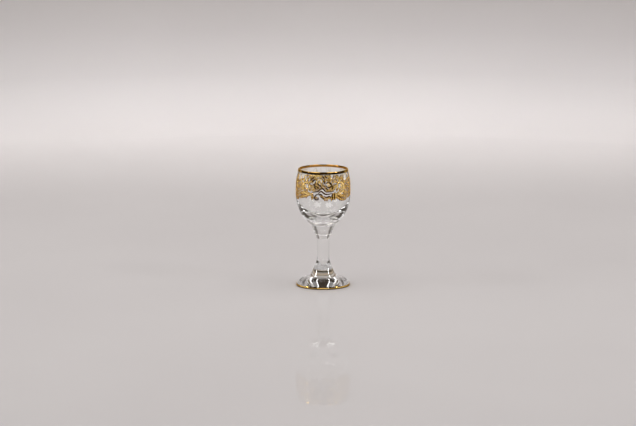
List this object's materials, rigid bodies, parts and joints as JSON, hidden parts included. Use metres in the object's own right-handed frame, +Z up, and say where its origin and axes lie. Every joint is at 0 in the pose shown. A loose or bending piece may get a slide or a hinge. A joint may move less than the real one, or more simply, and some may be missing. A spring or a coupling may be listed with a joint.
{
  "type": "vodka glass",
  "caption": "Small clear stemmed glass with a tulip bowl, a solid stem and a domed foot, with a gilded lip, a gilded scroll frieze and a gold line on the foot.",
  "frame": {"origin": "centre of the ring that the foot stands on, on the axis of the glass", "axes": "+Z up along the axis of the glass, -Y towards the front, where the middle of the first ornament transfer is"},
  "size_m": [0.0502, 0.0501, 0.1082],
  "materials": {
    "clear_glass": "clear colourless polished glass",
    "bright_gold": "bright fired gold, polished",
    "frieze_gold": "fired gold with slight relief, half matt"
  },
  "bodies": {
    "root": {"foot": "clear_glass", "stem": "clear_glass", "collar": "clear_glass", "bowl": "clear_glass", "rim_gilding": "bright_gold", "foot_gilding": "bright_gold", "ornament_transfer_1": "frieze_gold", "ornament_transfer_2": "frieze_gold", "ornament_transfer_3": "frieze_gold"}
  },
  "joints": []
}
